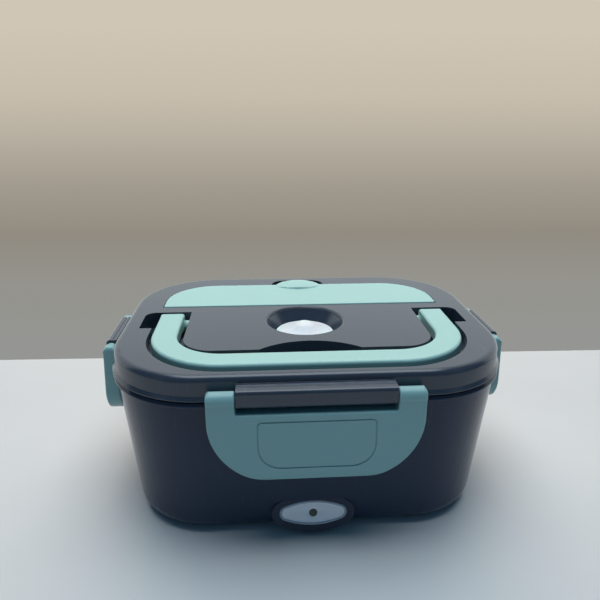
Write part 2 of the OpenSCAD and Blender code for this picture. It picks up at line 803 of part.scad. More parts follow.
// Section of the lid's outer form
module lid_section(reach) {
    shoulder = lid_top - lid_edge_r;
    polygon([[-reach, skirt_z], [0, skirt_z], [-lid_lean, shoulder],
        [-lid_lean - lid_edge_r, lid_top], [-reach, lid_top]]);
    translate([-lid_lean - lid_edge_r, shoulder]) circle(lid_edge_r);
    // Bead: a short flare that ends in a round edge
    polygon([[-1, skirt_z], [bead_out - 0.3, skirt_z], [bead_out, skirt_z + 0.3],
        [bead_out, skirt_z + 0.7], [-0.2, skirt_z + bead_h], [-1, skirt_z + bead_h]]);
}

module lid_form() {
    reach = 20;
    sweep() lid_section(reach);
    translate([0, 0, skirt_z]) linear_extrude(lid_h) plan(reach);
}

// Groove outline that the handle folds into; grow adds wall round it
module groove_plan(grow) {
    w = half_l - side_band + grow;
    d = half_w - front_band + grow;
    back = pocket_back + grow;
    r = groove_r + grow;
    translate([-w, r - d]) square([2 * w, back - r + d]);
    translate([r - w, -d]) square([2 * (w - r), r + 1]);
    for (side = [-1, 1]) translate([side * (w - r), r - d]) circle(r);
}

// Pocket outline for both pivot ends of the handle
module pocket_plan(grow) {
    x1 = pocket_x + grow;
    y1 = pocket_back + grow;
    r = pocket_r + grow;
    x0 = block_x - grow;
    for (side = [-1, 1]) {
        translate([side > 0 ? x0 : -x1 + r, pocket_front - grow])
            square([x1 - r - x0, y1 - pocket_front + grow]);
        translate([side > 0 ? x1 - r - 1 : -x1, pocket_front - grow])
            square([r + 1, y1 - r - pocket_front + grow]);
        translate([side * (x1 - r), y1 - r]) circle(r);
    }
}

// Outline of the middle block that stays between the handle's arms
module block_plan(shrink) {
    w = block_x - shrink;
    front = block_y - shrink;
    r = block_r - shrink;
    difference() {
        union() {
            translate([-w, -front + r]) square([2 * w, pocket_back + 20 + front - r]);
            translate([-w + r, -front]) square([2 * (w - r), r + 1]);
            for (side = [-1, 1]) translate([side * (w - r), -front + r]) circle(r);
        }
        translate([0, -block_y + scoop_depth - scoop_r]) circle(scoop_r + shrink);
    }
}

// Recesses that the handle needs
module handle_recess() {
    translate([0, 0, groove_z]) linear_extrude(groove_depth + 1) difference() {
        groove_plan(0);
        block_plan(0);
    }
    translate([0, 0, pocket_z]) linear_extrude(pocket_depth + 1) difference() {
        pocket_plan(0);
        block_plan(0);
    }
}

// Material under and round the handle's recesses
module handle_recess_walls() {
    top = lid_top - 1;
    translate([0, 0, groove_z - recess_skin]) linear_extrude(top - groove_z + recess_skin) difference() {
        groove_plan(groove_wall);
        block_plan(groove_wall);
    }
    translate([0, 0, pocket_z - recess_skin]) linear_extrude(top - pocket_z + recess_skin) difference() {
        pocket_plan(groove_wall);
        block_plan(groove_wall);
    }
    for (side = [-1, 1]) rod_x(side > 0 ? block_x - stub_len - 2 : -block_x + 0.5,
        side > 0 ? block_x - 0.5 : -block_x + stub_len + 2, pivot_y, pivot_z, stub_r + 1.6);
}

// Outline of the cutlery bay behind a straight front edge
module bay_plan(inset, front) intersection() {
    plan(inset);
    translate([-half_l, front]) square([lid_l, half_w]);
}

// Bay, cover rebate, hinge room and the dimple under the thumb tab
module bay_recess() {
    translate([0, 0, bay_z]) linear_extrude(bay_depth + 1) bay_plan(bay_inset, bay_front);
    translate([0, 0, rebate_z]) linear_extrude(lid_top - rebate_z + 1)
        bay_plan(cover_inset - cover_gap, bay_front);
    hinge_x = cover_x + cover_gap;
    translate([-hinge_x, bay_front, cover_pin_z - hinge_room])
        cube([2 * hinge_x, 5.3, 10]);
    translate([0, tab_y + 1, lid_top - dimple_depth]) linear_extrude(dimple_depth + 1)
        pad(tab_l + 6, tab_w + 5, 9);
    rod_x(-hinge_x - 2, hinge_x + 2, cover_pin_y, cover_pin_z, cover_pin_r + run);
}

module bay_walls() {
    top = lid_top - 1;
    translate([0, 0, bay_z - recess_skin]) linear_extrude(top - bay_z + recess_skin)
        bay_plan(bay_inset - 2, bay_front - 2);
    translate([0, 0, rebate_z - recess_skin - 2.4]) linear_extrude(top - rebate_z + recess_skin + 2.4)
        bay_plan(cover_inset - cover_gap - 4, bay_front - 2);
    translate([0, tab_y + 1, lid_top - dimple_depth - recess_skin])
        linear_extrude(dimple_depth + recess_skin - 1) pad(tab_l + 10, tab_w + 9, 11);
}

// Ribs on the bay floor that carry the cutlery handles
module cutlery_ribs() for (x = [-30, 10, 50])
    translate([x, spoon_y - 12, bay_z - eps]) cube([1.6, 24, spoon_z - bay_z - 0.2 + eps]);

// Crater cutter with a rolled top edge
module crater_recess() translate([0, crater_y, 0]) rotate_extrude() difference() {
    polygon([[0, crater_z], [crater_floor_r, crater_z],
        [crater_r - crater_edge_r, lid_top - crater_edge_r], [crater_r - crater_edge_r, lid_top - 1],
        [crater_r, lid_top], [crater_r, lid_top + 1], [0, lid_top + 1]]);
    translate([crater_r, lid_top - crater_edge_r]) circle(crater_edge_r);
}

// Frame of one side of the lid: the wall is the plane y = 0 and -Y points outwards
module at_side(side) {
    turn = side == "front" ? 0 : side == "right" ? 90 : side == "rear" ? 180 : -90;
    reach = side == "front" || side == "rear" ? half_w : half_l;
    rotate([0, 0, turn]) translate([0, -reach, 0]) children();
}

// Lug on the lid that a latch turns on, with a rounded nose and ridges on its top
module lug(half, high) difference() {
    low = skirt_z - 1.2;
    nose = latch_stand - 0.3;
    nose_r = 3.4;
    top_r = 2.2;
    translate([-half, 0, 0]) rotate([90, 0, 90]) linear_extrude(2 * half) {
        translate([-nose + nose_r, low]) square([nose - nose_r + 1, high - low]);
        translate([-nose + top_r, low + nose_r]) square([nose - top_r + 1, high - low - nose_r]);
        translate([-nose, low + nose_r]) square([nose_r + 1, high - low - nose_r - top_r]);
        translate([-nose + nose_r, low + nose_r]) circle(nose_r);
        translate([-nose + top_r, high - top_r]) circle(top_r);
    }
    // The back stays clear of the skirt's lower edge
    translate([-half - 1, 0, low - 1]) cube([2 * half + 2, 3, skirt_z - low + 1]);
    for (y = [-1.8, -4.2]) rod_x(-half - 1, half + 1, y, high + 0.2, 0.6);
}

module lug_bores(half, pivot) for (side = [-1, 1])
    rod_x(side > 0 ? half - pin_l : -half - 1, side > 0 ? half + 1 : -half + pin_l,
        -latch_pivot_stand, pivot, latch_pin_r + run);

module lid_shell() color(slate_top) {
    lid_body();
    cutlery_ribs();
}

module lid_body() difference() {
    union() {
        difference() {
            lid_form();
            lid_hollow();
        }
        // Rib ring that the inner panel closes against
        ring(panel_edge + 0.6, panel_edge + 2.2, panel_top, lid_top - lid_wall + eps);
        handle_recess_walls();
        bay_walls();
        translate([0, crater_y, crater_z - recess_skin])
            cylinder(h = lid_top - 1 - crater_z + recess_skin, r = crater_r + 1.2);
        for (side = ["front", "rear"]) at_side(side) lug(lug_half, latch_pivot_z + lug_rise);
        for (side = ["left", "right"]) at_side(side) lug(side_lug_half, side_pivot_z + side_lug_rise);
    }
    handle_recess();
    bay_recess();
    crater_recess();
    translate([0, crater_y, crater_z - 10]) cylinder(h = 20, r = stem_hole_r);
    for (side = [-1, 1]) rod_x(side > 0 ? block_x - stub_len : -block_x - 1,
        side > 0 ? block_x + 1 : -block_x + stub_len, pivot_y, pivot_z, stub_r + run);
    for (side = ["front", "rear"]) at_side(side) lug_bores(lug_half, latch_pivot_z);
    for (side = ["left", "right"]) at_side(side) lug_bores(side_lug_half, side_pivot_z);
}

module lid_hollow() {
    reach = 20;
    top = lid_top - lid_wall;
    sweep() polygon([[-reach, skirt_z - 1], [-lid_wall, skirt_z - 1],
        [-lid_wall - lid_lean, top - 1.5], [-lid_wall - lid_lean - 1.5, top], [-reach, top]]);
    translate([0, 0, skirt_z - 1]) linear_extrude(top - skirt_z + 1) plan(reach);
}

module lid_inner_panel() color(slate) difference() {
    union() {
        translate([0, 0, panel_z]) linear_extrude(panel_t) plan(panel_edge);
        ring(panel_edge, panel_edge + outer_lip_w, steel_rim_top + 0.8, panel_z + eps);
        ring(inner_lip_out, inner_lip_out + inner_lip_w, lip_z, panel_z + eps);
        // Collar round the steam way
        translate([0, crater_y, panel_z - 1.5]) cylinder(h = 1.5 + eps, r = barb_r + 5);
    }
    translate([0, crater_y, panel_z - 5]) cylinder(h = 10, r = barb_r + 2);
}

// Ring seal with a rounded bulb that rests on the container's rim
module lid_seal() color(milky) sweep() {
    bulb_r = (panel_z - steel_rim_top) / 2 - run;
    mid = -seal_out - seal_w / 2;
    translate([-seal_out - seal_w, steel_rim_top + bulb_r]) square([seal_w, bulb_r]);
    translate([mid, steel_rim_top + bulb_r]) circle(bulb_r);
}

// Section of the handle's bar: x runs from its outer side inwards
module handle_section() {
    r = handle_edge_r;
    translate([0, handle_z]) square([handle_w, handle_t - r]);
    translate([r, handle_z]) square([handle_w - 2 * r, handle_t]);
    for (x = [r, handle_w - r]) translate([x, handle_top - r]) circle(r);
}

module carry_handle() color(mint) {
    for (side = [-1, 1]) {
        // Quarter bend
        translate([side * handle_cx, handle_cy, 0]) rotate([0, 0, side > 0 ? -90 : 180])
            rotate_extrude(angle = 90) translate([handle_r - handle_w, 0]) handle_section();
        // Arm up to its rounded end
        translate([side > 0 ? handle_x - handle_w : -handle_x, handle_cy, 0]) handle_arm();
        // Stub on the inner side
        rod_x(side > 0 ? handle_x - handle_w - block_gap - stub_len + 0.5 : -handle_x + handle_w - 1,
            side > 0 ? handle_x - handle_w + 1 : -handle_x + handle_w + block_gap + stub_len - 0.5,
            pivot_y, pivot_z, stub_r);
        // Collar that keeps the arm off the block
        rod_x(side > 0 ? handle_x - handle_w - block_gap + seat : -handle_x + handle_w - 1,
            side > 0 ? handle_x - handle_w + 1 : -handle_x + handle_w + block_gap - seat,
            pivot_y, pivot_z, stub_r + 1.2);
    }
    translate([-handle_cx, -handle_y, 0]) rotate([90, 0, 90]) linear_extrude(2 * handle_cx)
        handle_section();
}

// Straight arm, cut to the side outline of its pivot end
module handle_arm() {
    arm_l = pivot_y + arm_end_r - handle_cy;
    intersection() {
        union() {
            translate([0, arm_l, 0]) rotate([90, 0, 0]) linear_extrude(arm_l) handle_section();
            translate([0, arm_l - 16, pivot_z - arm_end_r]) cube([handle_w, 16, handle_t / 2 + 2]);
        }
        rotate([90, 0, 90]) translate([-handle_cy, 0]) linear_extrude(handle_w) {
            translate([handle_cy - 1, handle_z]) square([-handle_cy + 1 + pivot_y, handle_t]);
            translate([pivot_y, pivot_z]) square([arm_end_r, handle_top - pivot_z - 1.5]);
            translate([pivot_y - 1, pivot_z]) square([arm_end_r - 0.5, handle_top - pivot_z]);
            translate([pivot_y + arm_end_r - 1.5, handle_top - 1.5]) circle(1.5);
            translate([pivot_y, pivot_z]) circle(arm_end_r);
            translate([pivot_y - 9, pivot_z - arm_end_r + 2]) square([9, 4]);
        }
    }
}

module cutlery_cover() color(mint) {
    x = cover_x;
    difference() {
        union() {
            translate([0, 0, cover_z]) linear_extrude(cover_t) bay_plan(cover_inset, cover_front);
            thumb_tab();
            // Stiffening rim below the plate, inside the bay
            difference() {
                translate([0, 0, cover_z - 1.4]) linear_extrude(1.4 + eps)
                    bay_plan(bay_inset + 1, cover_front + 7);
                translate([0, 0, cover_z - 2]) linear_extrude(2)
                    bay_plan(bay_inset + 2.4, cover_front + 8.4);
            }
            for (side = [-1, 1]) rod_x(side > 0 ? x - knuckle_l : -x, side > 0 ? x : -x + knuckle_l,
                cover_pin_y, cover_pin_z, knuckle_r);
        }
        // Softened front edge
        rotate([90, 0, 90]) translate([cover_front, cover_top, -half_l]) linear_extrude(lid_l)
            difference() {
                translate([-1, -0.8]) square([1.8, 1.8]);
                translate([0.8, -0.8]) circle(0.8);
            }
    }
    rod_x(-x - 1.7, -x + 1, cover_pin_y, cover_pin_z, cover_pin_r);
    rod_x(x - 1, x + 1.7, cover_pin_y, cover_pin_z, cover_pin_r);
}

// Raised oval tab with a crowned top that overhangs the cover's back edge
module thumb_tab() intersection() {
    crown_r = 80;
    translate([0, tab_y, cover_z + 0.4]) linear_extrude(6) oval(tab_l, tab_w);
    translate([0, tab_y, tab_top - crown_r]) sphere(crown_r, $fn = 200);
}

// Flat outline of the handle that both pieces of cutlery share
module cutlery_handle() {
    translate([-32, -2.6]) square([96, 5.2]);
    translate([64, 0]) circle(5.4);
    translate([44, -4.2]) square([20, 8.4]);
    translate([44, 0]) circle(4.2);
}

module spoon() color(steel) {
    bowl_l = 42;
    bowl_w = 25;
    translate([0, spoon_y, spoon_z]) {
        linear_extrude(cutlery_t) difference() {
            cutlery_handle();
            translate([-52, 0]) circle(bowl_l / 2 - 1);
        }
        translate([-52, 0, 0]) spoon_bowl(bowl_l, bowl_w, 5);
    }
}

// Bowl turned about the long axis, with a flat rim
module spoon_bowl(l, w, depth) {
    across_r = (w * w / 4 + depth * depth) / (2 * depth);
    along_r = (l * l / 4 + depth * depth) / (2 * depth);
    intersection() {
        translate([0, 0, across_r - depth]) rotate([0, 90, 0]) rotate_extrude() intersection() {
            difference() {
                translate([across_r - along_r, 0]) circle(along_r, $fn = 200);
                translate([across_r - along_r, 0]) circle(along_r - cutlery_t, $fn = 200);
            }
            translate([4, -l / 2 - 2]) square([across_r, l + 4]);
        }
        translate([-l, -w, -depth - 1]) cube([2 * l, 2 * w, depth + 1 + cutlery_t]);
    }
}

module fork() color(steel) translate([0, spoon_y, spoon_z + cutlery_t + seat]) {
    head_w = 20;
    tine_w = 2.6;
    pitch = (head_w - tine_w) / 3;
    linear_extrude(cutlery_t) {
        cutlery_handle();
        translate([-42, 0]) pad(24, head_w, 6);
        for (i = [0:3]) translate([-72, -head_w / 2 + tine_w / 2 + i * pitch]) {
            translate([0, -tine_w / 2]) square([24, tine_w]);
            circle(tine_w / 2);
        }
    }
}

module steam_valve() color(milky) translate([0, crater_y, 0]) {
    wall = 1.4;
    rotate_extrude() difference() {
        union() {
            // Bell shell
            difference() {
                translate([0, dome_z]) bell(0);
                translate([0, dome_z]) bell(wall);
                translate([-60, dome_z - 100]) square([120, 100]);
            }
            translate([0, barb_top - 1]) square([stem_r, dome_z + dome_h - wall - barb_top + 1]);
            translate([0, barb_top - 1.4]) square([barb_r, 1.4]);
            translate([0, barb_top - 2.6]) square([barb_r - 1.4, 1.4]);
        }
        translate([-60, -10]) square([60, 200]);
    }
}

// Half section of the valve's bell: a round cap on a flank that hollows towards the rim
module bell(inset) {
    joint_x = (cap_r - inset) * sin(cap_a);
    joint_z = cap_z + (cap_r - inset) * cos(cap_a);
    rim = dome_r - inset;
    difference() {
        polygon([[-1, -2], [rim, -2], [rim, dome_lip], [joint_x, joint_z], [-1, joint_z]]);
        translate([(cap_r + flank_r) * sin(cap_a), cap_z + (cap_r + flank_r) * cos(cap_a)])
            circle(flank_r + inset, $fn = 360);
    }
    intersection() {
        translate([0, cap_z]) circle(cap_r - inset, $fn = 180);
        translate([-1, joint_z - eps]) square([rim, dome_h]);
    }
}

// Side outline of a latch in its side's frame: x is outwards negative, y is the height
module latch_side(bottom, pivot, ear, wall) {
    lean = tan(latch_flare);
    back = flange_in - seat;
    shoulder = hook_top - 0.5;
    clear = -bead_out - 0.6;
    toe_r = 3.2 - wall;
    toe_z = bottom + 3.2;
    toe_y = -latch_stand - (pivot - toe_z) * lean + 3.2 / cos(latch_flare);
    face = -latch_stand + wall / cos(latch_flare);
    polygon([[back, shoulder], [clear, shoulder], [clear, pivot], [face, pivot],
        [toe_y - toe_r * cos(latch_flare), toe_z + toe_r * sin(latch_flare)],
        [toe_y, toe_z - toe_r], [back, toe_z - toe_r]]);
    translate([toe_y, toe_z]) circle(toe_r);
    if (wall == 0) {
        ear_y = -latch_pivot_stand - 0.4;
        corner = ear_y - face;
        translate([face, pivot - 0.5]) square([corner, ear - corner + 0.5]);
        intersection() {
            translate([ear_y, pivot + ear - corner]) circle(corner);
            translate([face, pivot - 1]) square([corner, ear + 2]);
        }
        translate([ear_y, pivot]) circle(ear - eps);
    }
}

// Front outline of a latch
module latch_face(half, bottom, top_z, low_r, wall) {
    r = low_r - wall;
    w = half - wall;
    top = top_z - wall;
    edge_r = 2.2;
    translate([-w, bottom + low_r]) square([2 * w, top - bottom - low_r - edge_r]);
    translate([-w + r, bottom + wall]) square([2 * (w - r), top - bottom - wall]);
    translate([-w + edge_r, bottom + low_r]) square([2 * (w - edge_r), top - bottom - low_r]);
    for (side = [-1, 1]) {
        translate([side * (w - r), bottom + low_r]) circle(r);
        translate([side * (w - edge_r), top - edge_r]) circle(edge_r);
    }
}

// Snap latch: a shell with two ears, a hook under the rim flange and a stub in each ear
module latch(half, lug_l, drop, low_r, pivot, ear) color(teal) {
    bottom = rim_top - drop;
    notch = lug_l + 0.5;
    depth = latch_stand + 12;
    difference() {
        intersection() {
            translate([0, 6, 0]) rotate([90, 0, 0]) linear_extrude(depth)
                latch_face(half, bottom, pivot + ear, low_r, 0);
            translate([-half - 1, 0, 0]) rotate([90, 0, 90]) linear_extrude(2 * half + 2)
                latch_side(bottom, pivot, ear, 0);
        }
        // Hollow behind the face
        intersection() {
            translate([0, 6, 0]) rotate([90, 0, 0]) linear_extrude(depth)
                latch_face(half, bottom, pivot + ear, low_r, latch_wall);
            translate([-half - 1, 0, 0]) rotate([90, 0, 90]) linear_extrude(2 * half + 2)
                intersection() {
                    union() {
                        latch_side(bottom, pivot, ear, latch_wall);
                        translate([-4, bottom]) square([9, 100]);
                    }
                    translate([-20, bottom - 5]) square([40, hook_top - hook_t - bottom + 5]);
                }
        }
        // Notch for the lug
        translate([0, 6, 0]) rotate([90, 0, 0]) linear_extrude(depth) {
            translate([-notch, hook_top + 1.5]) square([2 * notch, 30]);
            translate([-notch + 1.5, hook_top]) square([2 * notch - 3, 5]);
            for (side = [-1, 1]) translate([side * (notch - 1.5), hook_top + 1.5]) circle(1.5);
        }
        latch_panel(half, bottom, pivot);
    }
    // Hook under the rim flange
    translate([-lug_l, -latch_stand + 1, hook_top - hook_t])
        cube([2 * lug_l, latch_stand - 1 + hook_reach, hook_t]);
    for (side = [-1, 1])
        rod_x(side > 0 ? notch - pin_l : -notch - 1, side > 0 ? notch + 1 : -notch + pin_l,
            -latch_pivot_stand, pivot, latch_pin_r);
}

// Fine groove that outlines the pressing panel on a latch's leaning face
module latch_panel(half, bottom, pivot) {
    w = half * 0.55;
    line = 0.8;
    translate([0, -latch_stand, pivot]) rotate([-latch_flare, 0, 0]) translate([0, 0.4, -pivot])
        rotate([90, 0, 0]) linear_extrude(2) difference() {
            panel_outline(w, bottom, 0);
            panel_outline(w, bottom, line);
        }
}

module panel_outline(w, bottom, wall) {
    low = bottom + 7.5 + wall;
    high = hook_top - 3.4 - wall;
    x = w - wall;
    r = 12 - wall;
    top_r = 2.6 - wall;
    translate([-x, low + r]) square([2 * x, high - low - r - top_r]);
    translate([-x + top_r, low + r]) square([2 * (x - top_r), high - low - r]);
    translate([-x + r, low]) square([2 * (x - r), r + 1]);
    for (side = [-1, 1]) {
        translate([side * (x - r), low + r]) circle(r);
        translate([side * (x - top_r), high - top_r]) circle(top_r);
    }
}

module end_latch() latch(latch_half, lug_half, latch_drop, latch_r, latch_pivot_z, ear_r);
module side_latch()
    latch(side_latch_half, side_lug_half, side_latch_drop, side_latch_r, side_pivot_z, side_ear_r);

module latch_front() at_side("front") end_latch();
module latch_rear() at_side("rear") end_latch();
module latch_left() at_side("left") side_latch();
module latch_right() at_side("right") side_latch();

outer_shell();
bottom_cover();
bottom_screws();
rubber_feet();
heat_liner();
heating_plate();
heater_element();
heater_screws();
thermostat();
thermal_fuse();
lead_wires();
ac_inlet();
ac_inlet_pins();
dc_inlet();
dc_inlet_pin();
port_cover();
power_badge();
indicator_lens();
indicator_board();
steel_container();
side_dish_tray();
lid_shell();
lid_inner_panel();
lid_seal();
carry_handle();
cutlery_cover();
spoon();
fork();
steam_valve();
latch_front();
latch_rear();
latch_left();
latch_right();
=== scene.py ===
"""Electric lunch box: a slate blue base and lid, mint latches, handle and cutlery cover."""
import json
import math

import bmesh
import bpy
from mathutils import Matrix, Vector


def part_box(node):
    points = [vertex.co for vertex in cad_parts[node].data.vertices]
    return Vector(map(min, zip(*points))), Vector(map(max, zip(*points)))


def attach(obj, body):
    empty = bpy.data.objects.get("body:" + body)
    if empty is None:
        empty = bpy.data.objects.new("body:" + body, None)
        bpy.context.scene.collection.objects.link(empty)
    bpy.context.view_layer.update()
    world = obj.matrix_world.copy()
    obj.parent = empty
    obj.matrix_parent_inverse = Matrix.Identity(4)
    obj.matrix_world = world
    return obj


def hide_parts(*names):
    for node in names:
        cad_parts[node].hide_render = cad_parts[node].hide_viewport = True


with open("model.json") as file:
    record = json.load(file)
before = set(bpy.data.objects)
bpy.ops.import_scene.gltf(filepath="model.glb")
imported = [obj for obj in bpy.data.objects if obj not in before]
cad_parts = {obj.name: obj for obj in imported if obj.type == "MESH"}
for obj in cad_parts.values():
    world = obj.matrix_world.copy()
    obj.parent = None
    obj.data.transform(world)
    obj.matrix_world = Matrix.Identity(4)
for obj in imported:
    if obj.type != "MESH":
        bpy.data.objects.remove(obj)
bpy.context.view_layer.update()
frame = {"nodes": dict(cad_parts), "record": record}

nodes = frame["nodes"]


# CAMERA
# A phone held in front of the box, a little left of its middle, looking down on the lid. Its place and
# its three axes come from fitting the outlines of the lid, the base and the latches.
photo_camera = bpy.data.cameras.new("photo_camera")
photo_camera.lens = 33.24
photo_camera.sensor_width = 36.0
photo_camera.clip_start = 0.01
camera = bpy.data.objects.new("camera", photo_camera)
bpy.context.scene.collection.objects.link(camera)
camera_right = Vector((0.99757316, -0.06945798, 0.00483491))
camera_up = Vector((0.01872922, 0.3345783, 0.94218182))
camera_back = Vector((-0.0670597, -0.93980474, 0.33506722))
camera.matrix_world = Matrix.Translation((-0.0254, -0.3212, 0.2252)) @ Matrix((
    camera_right, camera_up, camera_back)).transposed().to_4x4()
bpy.context.scene.camera = camera
bpy.context.scene.view_settings.view_transform = "Standard"


# LIGHT
# A warm strip lamp behind the box, a broad cool ceiling over it, and weak fill from both sides.
# Each lamp is a rectangle that faces the point it is aimed at.
def lamp(name, place, aim, width, depth, watts, colour):
    light = bpy.data.lights.new(name, "AREA")
    light.shape = "RECTANGLE"
    light.size = width
    light.size_y = depth
    light.energy = watts
    light.color = colour
    lamp_object = bpy.data.objects.new(name, light)
    lamp_object.location = place
    aim_line = Vector(aim) - Vector(place)
    lamp_object.rotation_euler = aim_line.to_track_quat("-Z", "Y").to_euler()
    bpy.context.scene.collection.objects.link(lamp_object)


lamp("warm_lamp", (0.0, 0.72, 1.05), (0, 0, 0.08), 1.5, 0.3, 8.6, (1.0, 0.81, 0.64))
lamp("ceiling", (0.0, 0.0, 1.5), (0, 0.0, 0.05), 1.3, 1.0, 16.0, (0.80, 0.91, 1.0))
lamp("left_fill", (-0.9, -0.7, 0.5), (0, 0, 0.05), 0.25, 0.5, 0.12, (0.55, 0.80, 1.0))
lamp("right_fill", (0.9, -0.7, 0.5), (0, 0, 0.05), 0.25, 0.5, 0.12, (0.55, 0.80, 1.0))

# FLOOR, WALL AND ROOM
# A pale matt table top that takes the shadow, the wall close behind the box, which glows with painted light
# and painted shade, and the dim cool room round them. All three are backdrop and belong to no part of the
# box.
def put(tree, kind, inputs=(), **settings):
    """Adds a shader node; inputs maps its sockets to plain values or to other nodes' outputs."""
    made = tree.nodes.new(kind)
    for key, value in settings.items():
        setattr(made, key, value)
    for socket, value in dict(inputs).items():
        if isinstance(value, bpy.types.NodeSocket):
            tree.links.new(value, made.inputs[socket])
        else:
            made.inputs[socket].default_value = value
    return made


def new_material(name):
    material = bpy.data.materials.new(name)
    material.use_nodes = True
    material.node_tree.nodes.clear()
    return material, material.node_tree


def ramp(tree, value, stops):
    """Colour ramp through (place, colour) stops."""
    made = put(tree, "ShaderNodeValToRGB", {0: value})
    elements = made.color_ramp.elements
    while len(elements) < len(stops):
        elements.new(0.5)
    for element, (place, colour) in zip(elements, stops):
        element.position = place
        element.color = (*colour, 1)
    return made.outputs["Color"]


def seen_by_lens(tree):
    """1 where the camera, a reflection or a refraction looks at the backdrop."""
    path = put(tree, "ShaderNodeLightPath").outputs
    first = put(tree, "ShaderNodeMath", {0: path["Is Camera Ray"], 1: path["Is Glossy Ray"]},
                operation="MAXIMUM").outputs[0]
    return put(tree, "ShaderNodeMath", {0: first, 1: path["Is Transmission Ray"]},
               operation="MAXIMUM").outputs[0]


def blend_colour(tree, share, first, second, blend="MIX"):
    made = put(tree, "ShaderNodeMix", data_type="RGBA", blend_type=blend)
    for socket, value in ((0, share), (6, first), (7, second)):
        if isinstance(value, bpy.types.NodeSocket):
            tree.links.new(value, made.inputs[socket])
        else:
            made.inputs[socket].default_value = value
    return made.outputs[2]


def flat_sheet(name, corners, material):
    mesh = bpy.data.meshes.new(name)
    mesh.from_pydata(corners, [], [range(len(corners))])
    mesh.materials.append(material)
    sheet_object = bpy.data.objects.new(name, mesh)
    bpy.context.scene.collection.objects.link(sheet_object)
    return sheet_object


floor_paint, tree = new_material("floor_paint")
place = put(tree, "ShaderNodeTexCoord").outputs["Object"]
fleck = put(tree, "ShaderNodeTexNoise", {"Vector": place, "Scale": 9.0, "Detail": 4.0})
tone = ramp(tree, fleck.outputs["Fac"], [(0.3, (0.69, 0.69, 0.67)), (0.7, (0.72, 0.72, 0.70))])
floor_shader = put(tree, "ShaderNodeBsdfPrincipled", {"Base Color": tone, "Roughness": 0.55})
# From below, the table top lets the camera through
behind = put(tree, "ShaderNodeNewGeometry").outputs["Backfacing"]
clear = put(tree, "ShaderNodeBsdfTransparent")
floor_mix = put(tree, "ShaderNodeMixShader", {0: behind, 1: floor_shader.outputs[0], 2: clear.outputs[0]})
put(tree, "ShaderNodeOutputMaterial", {"Surface": floor_mix.outputs[0]})
flat_sheet("floor", [(-1.6, -1.8, 0), (1.6, -1.8, 0), (1.6, 0.20, 0), (-1.6, 0.20, 0)], floor_paint)

# The room: cool and dim where it lights the box, pale where the lens or a clear part looks into it
room = bpy.data.worlds.new("room")
bpy.context.scene.world = room
room.use_nodes = True
tree = room.node_tree
tree.nodes.clear()
paths = put(tree, "ShaderNodeLightPath").outputs
seen = put(tree, "ShaderNodeMath", {0: paths["Is Camera Ray"], 1: paths["Is Transmission Ray"]},
           operation="MAXIMUM").outputs[0]
hue = blend_colour(tree, paths["Is Glossy Ray"], (0.032, 0.085, 0.15, 1), (0.10, 0.13, 0.16, 1))
hue = blend_colour(tree, seen, hue, (0.56, 0.54, 0.50, 1))
backdrop = put(tree, "ShaderNodeBackground", {"Color": hue, "Strength": 1.0})
put(tree, "ShaderNodeOutputWorld", {"Surface": backdrop.outputs[0]})

wall_paint_and_painted_light, tree = new_material("wall_paint_and_painted_light")
place = put(tree, "ShaderNodeTexCoord").outputs["Object"]
height = put(tree, "ShaderNodeSeparateXYZ", {0: place}).outputs["Z"]
height = put(tree, "ShaderNodeMath", {0: height, 1: 0.32}, operation="DIVIDE").outputs[0]
# Painted light on the wall: its glow is darker low down, where shade falls near the floor and the box, and
# lighter higher up.
painted_wall_light = ramp(tree, height, [
    (0.0, (0.30, 0.305, 0.295)), (0.22, (0.30, 0.295, 0.27)), (0.37, (0.285, 0.26, 0.22)),
    (0.50, (0.36, 0.33, 0.275)), (0.72, (0.57, 0.51, 0.42)), (0.88, (0.63, 0.565, 0.465))])
# Painted reflection: glossy rays, as in the lid's reflection, see the wall in a paler, cooler colour than
# the camera does
mirrored = put(tree, "ShaderNodeLightPath").outputs["Is Glossy Ray"]
painted_wall_light = blend_colour(tree, mirrored, painted_wall_light, (0.93, 1.0, 1.0, 1))
glow = put(tree, "ShaderNodeEmission", {"Color": painted_wall_light, "Strength": 1.0})
paint = put(tree, "ShaderNodeBsdfDiffuse", {"Color": (0.5, 0.48, 0.44, 1)})
wall_mix = put(tree, "ShaderNodeMixShader", {0: seen_by_lens(tree), 1: paint.outputs[0],
                                             2: glow.outputs[0]})
# From behind, the wall lets the camera through
behind = put(tree, "ShaderNodeNewGeometry").outputs["Backfacing"]
clear = put(tree, "ShaderNodeBsdfTransparent")
wall_mix = put(tree, "ShaderNodeMixShader", {0: behind, 1: wall_mix.outputs[0], 2: clear.outputs[0]})
put(tree, "ShaderNodeOutputMaterial", {"Surface": wall_mix.outputs[0]})
wall = flat_sheet("wall", [(-1.6, 0.188, 0), (1.6, 0.1226, 0), (1.6, 0.1226, 0.6), (-1.6, 0.188, 0.6)],
                  wall_paint_and_painted_light)
# The lamp behind it lights the box through it
wall.visible_shadow = False
wall.visible_diffuse = False


# OUTER SHELL AND BOTTOM COVER
# The base's double wall and the plate that closes it from below, in slate blue polypropylene. Both are
# moulded in a polished tool, so they are glossy with a faint ripple.
def shader_group(name, inputs, outputs):
    """Empty node group with (name, kind, default) inputs and (name, kind) outputs."""
    group = bpy.data.node_groups.new(name, "ShaderNodeTree")
    for label, kind, value in inputs:
        socket = group.interface.new_socket(label, in_out="INPUT", socket_type="NodeSocket" + kind)
        socket.default_value = value
    for label, kind in outputs:
        group.interface.new_socket(label, in_out="OUTPUT", socket_type="NodeSocket" + kind)
    entry = group.nodes.new("NodeGroupInput").outputs
    leave = group.nodes.new("NodeGroupOutput")
    return group, entry, leave


def link_out(group, leave, **values):
    for label, value in values.items():
        group.links.new(value, leave.inputs[label])


def maths(tree, operation, *values):
    return put(tree, "ShaderNodeMath", dict(enumerate(values)), operation=operation).outputs[0]


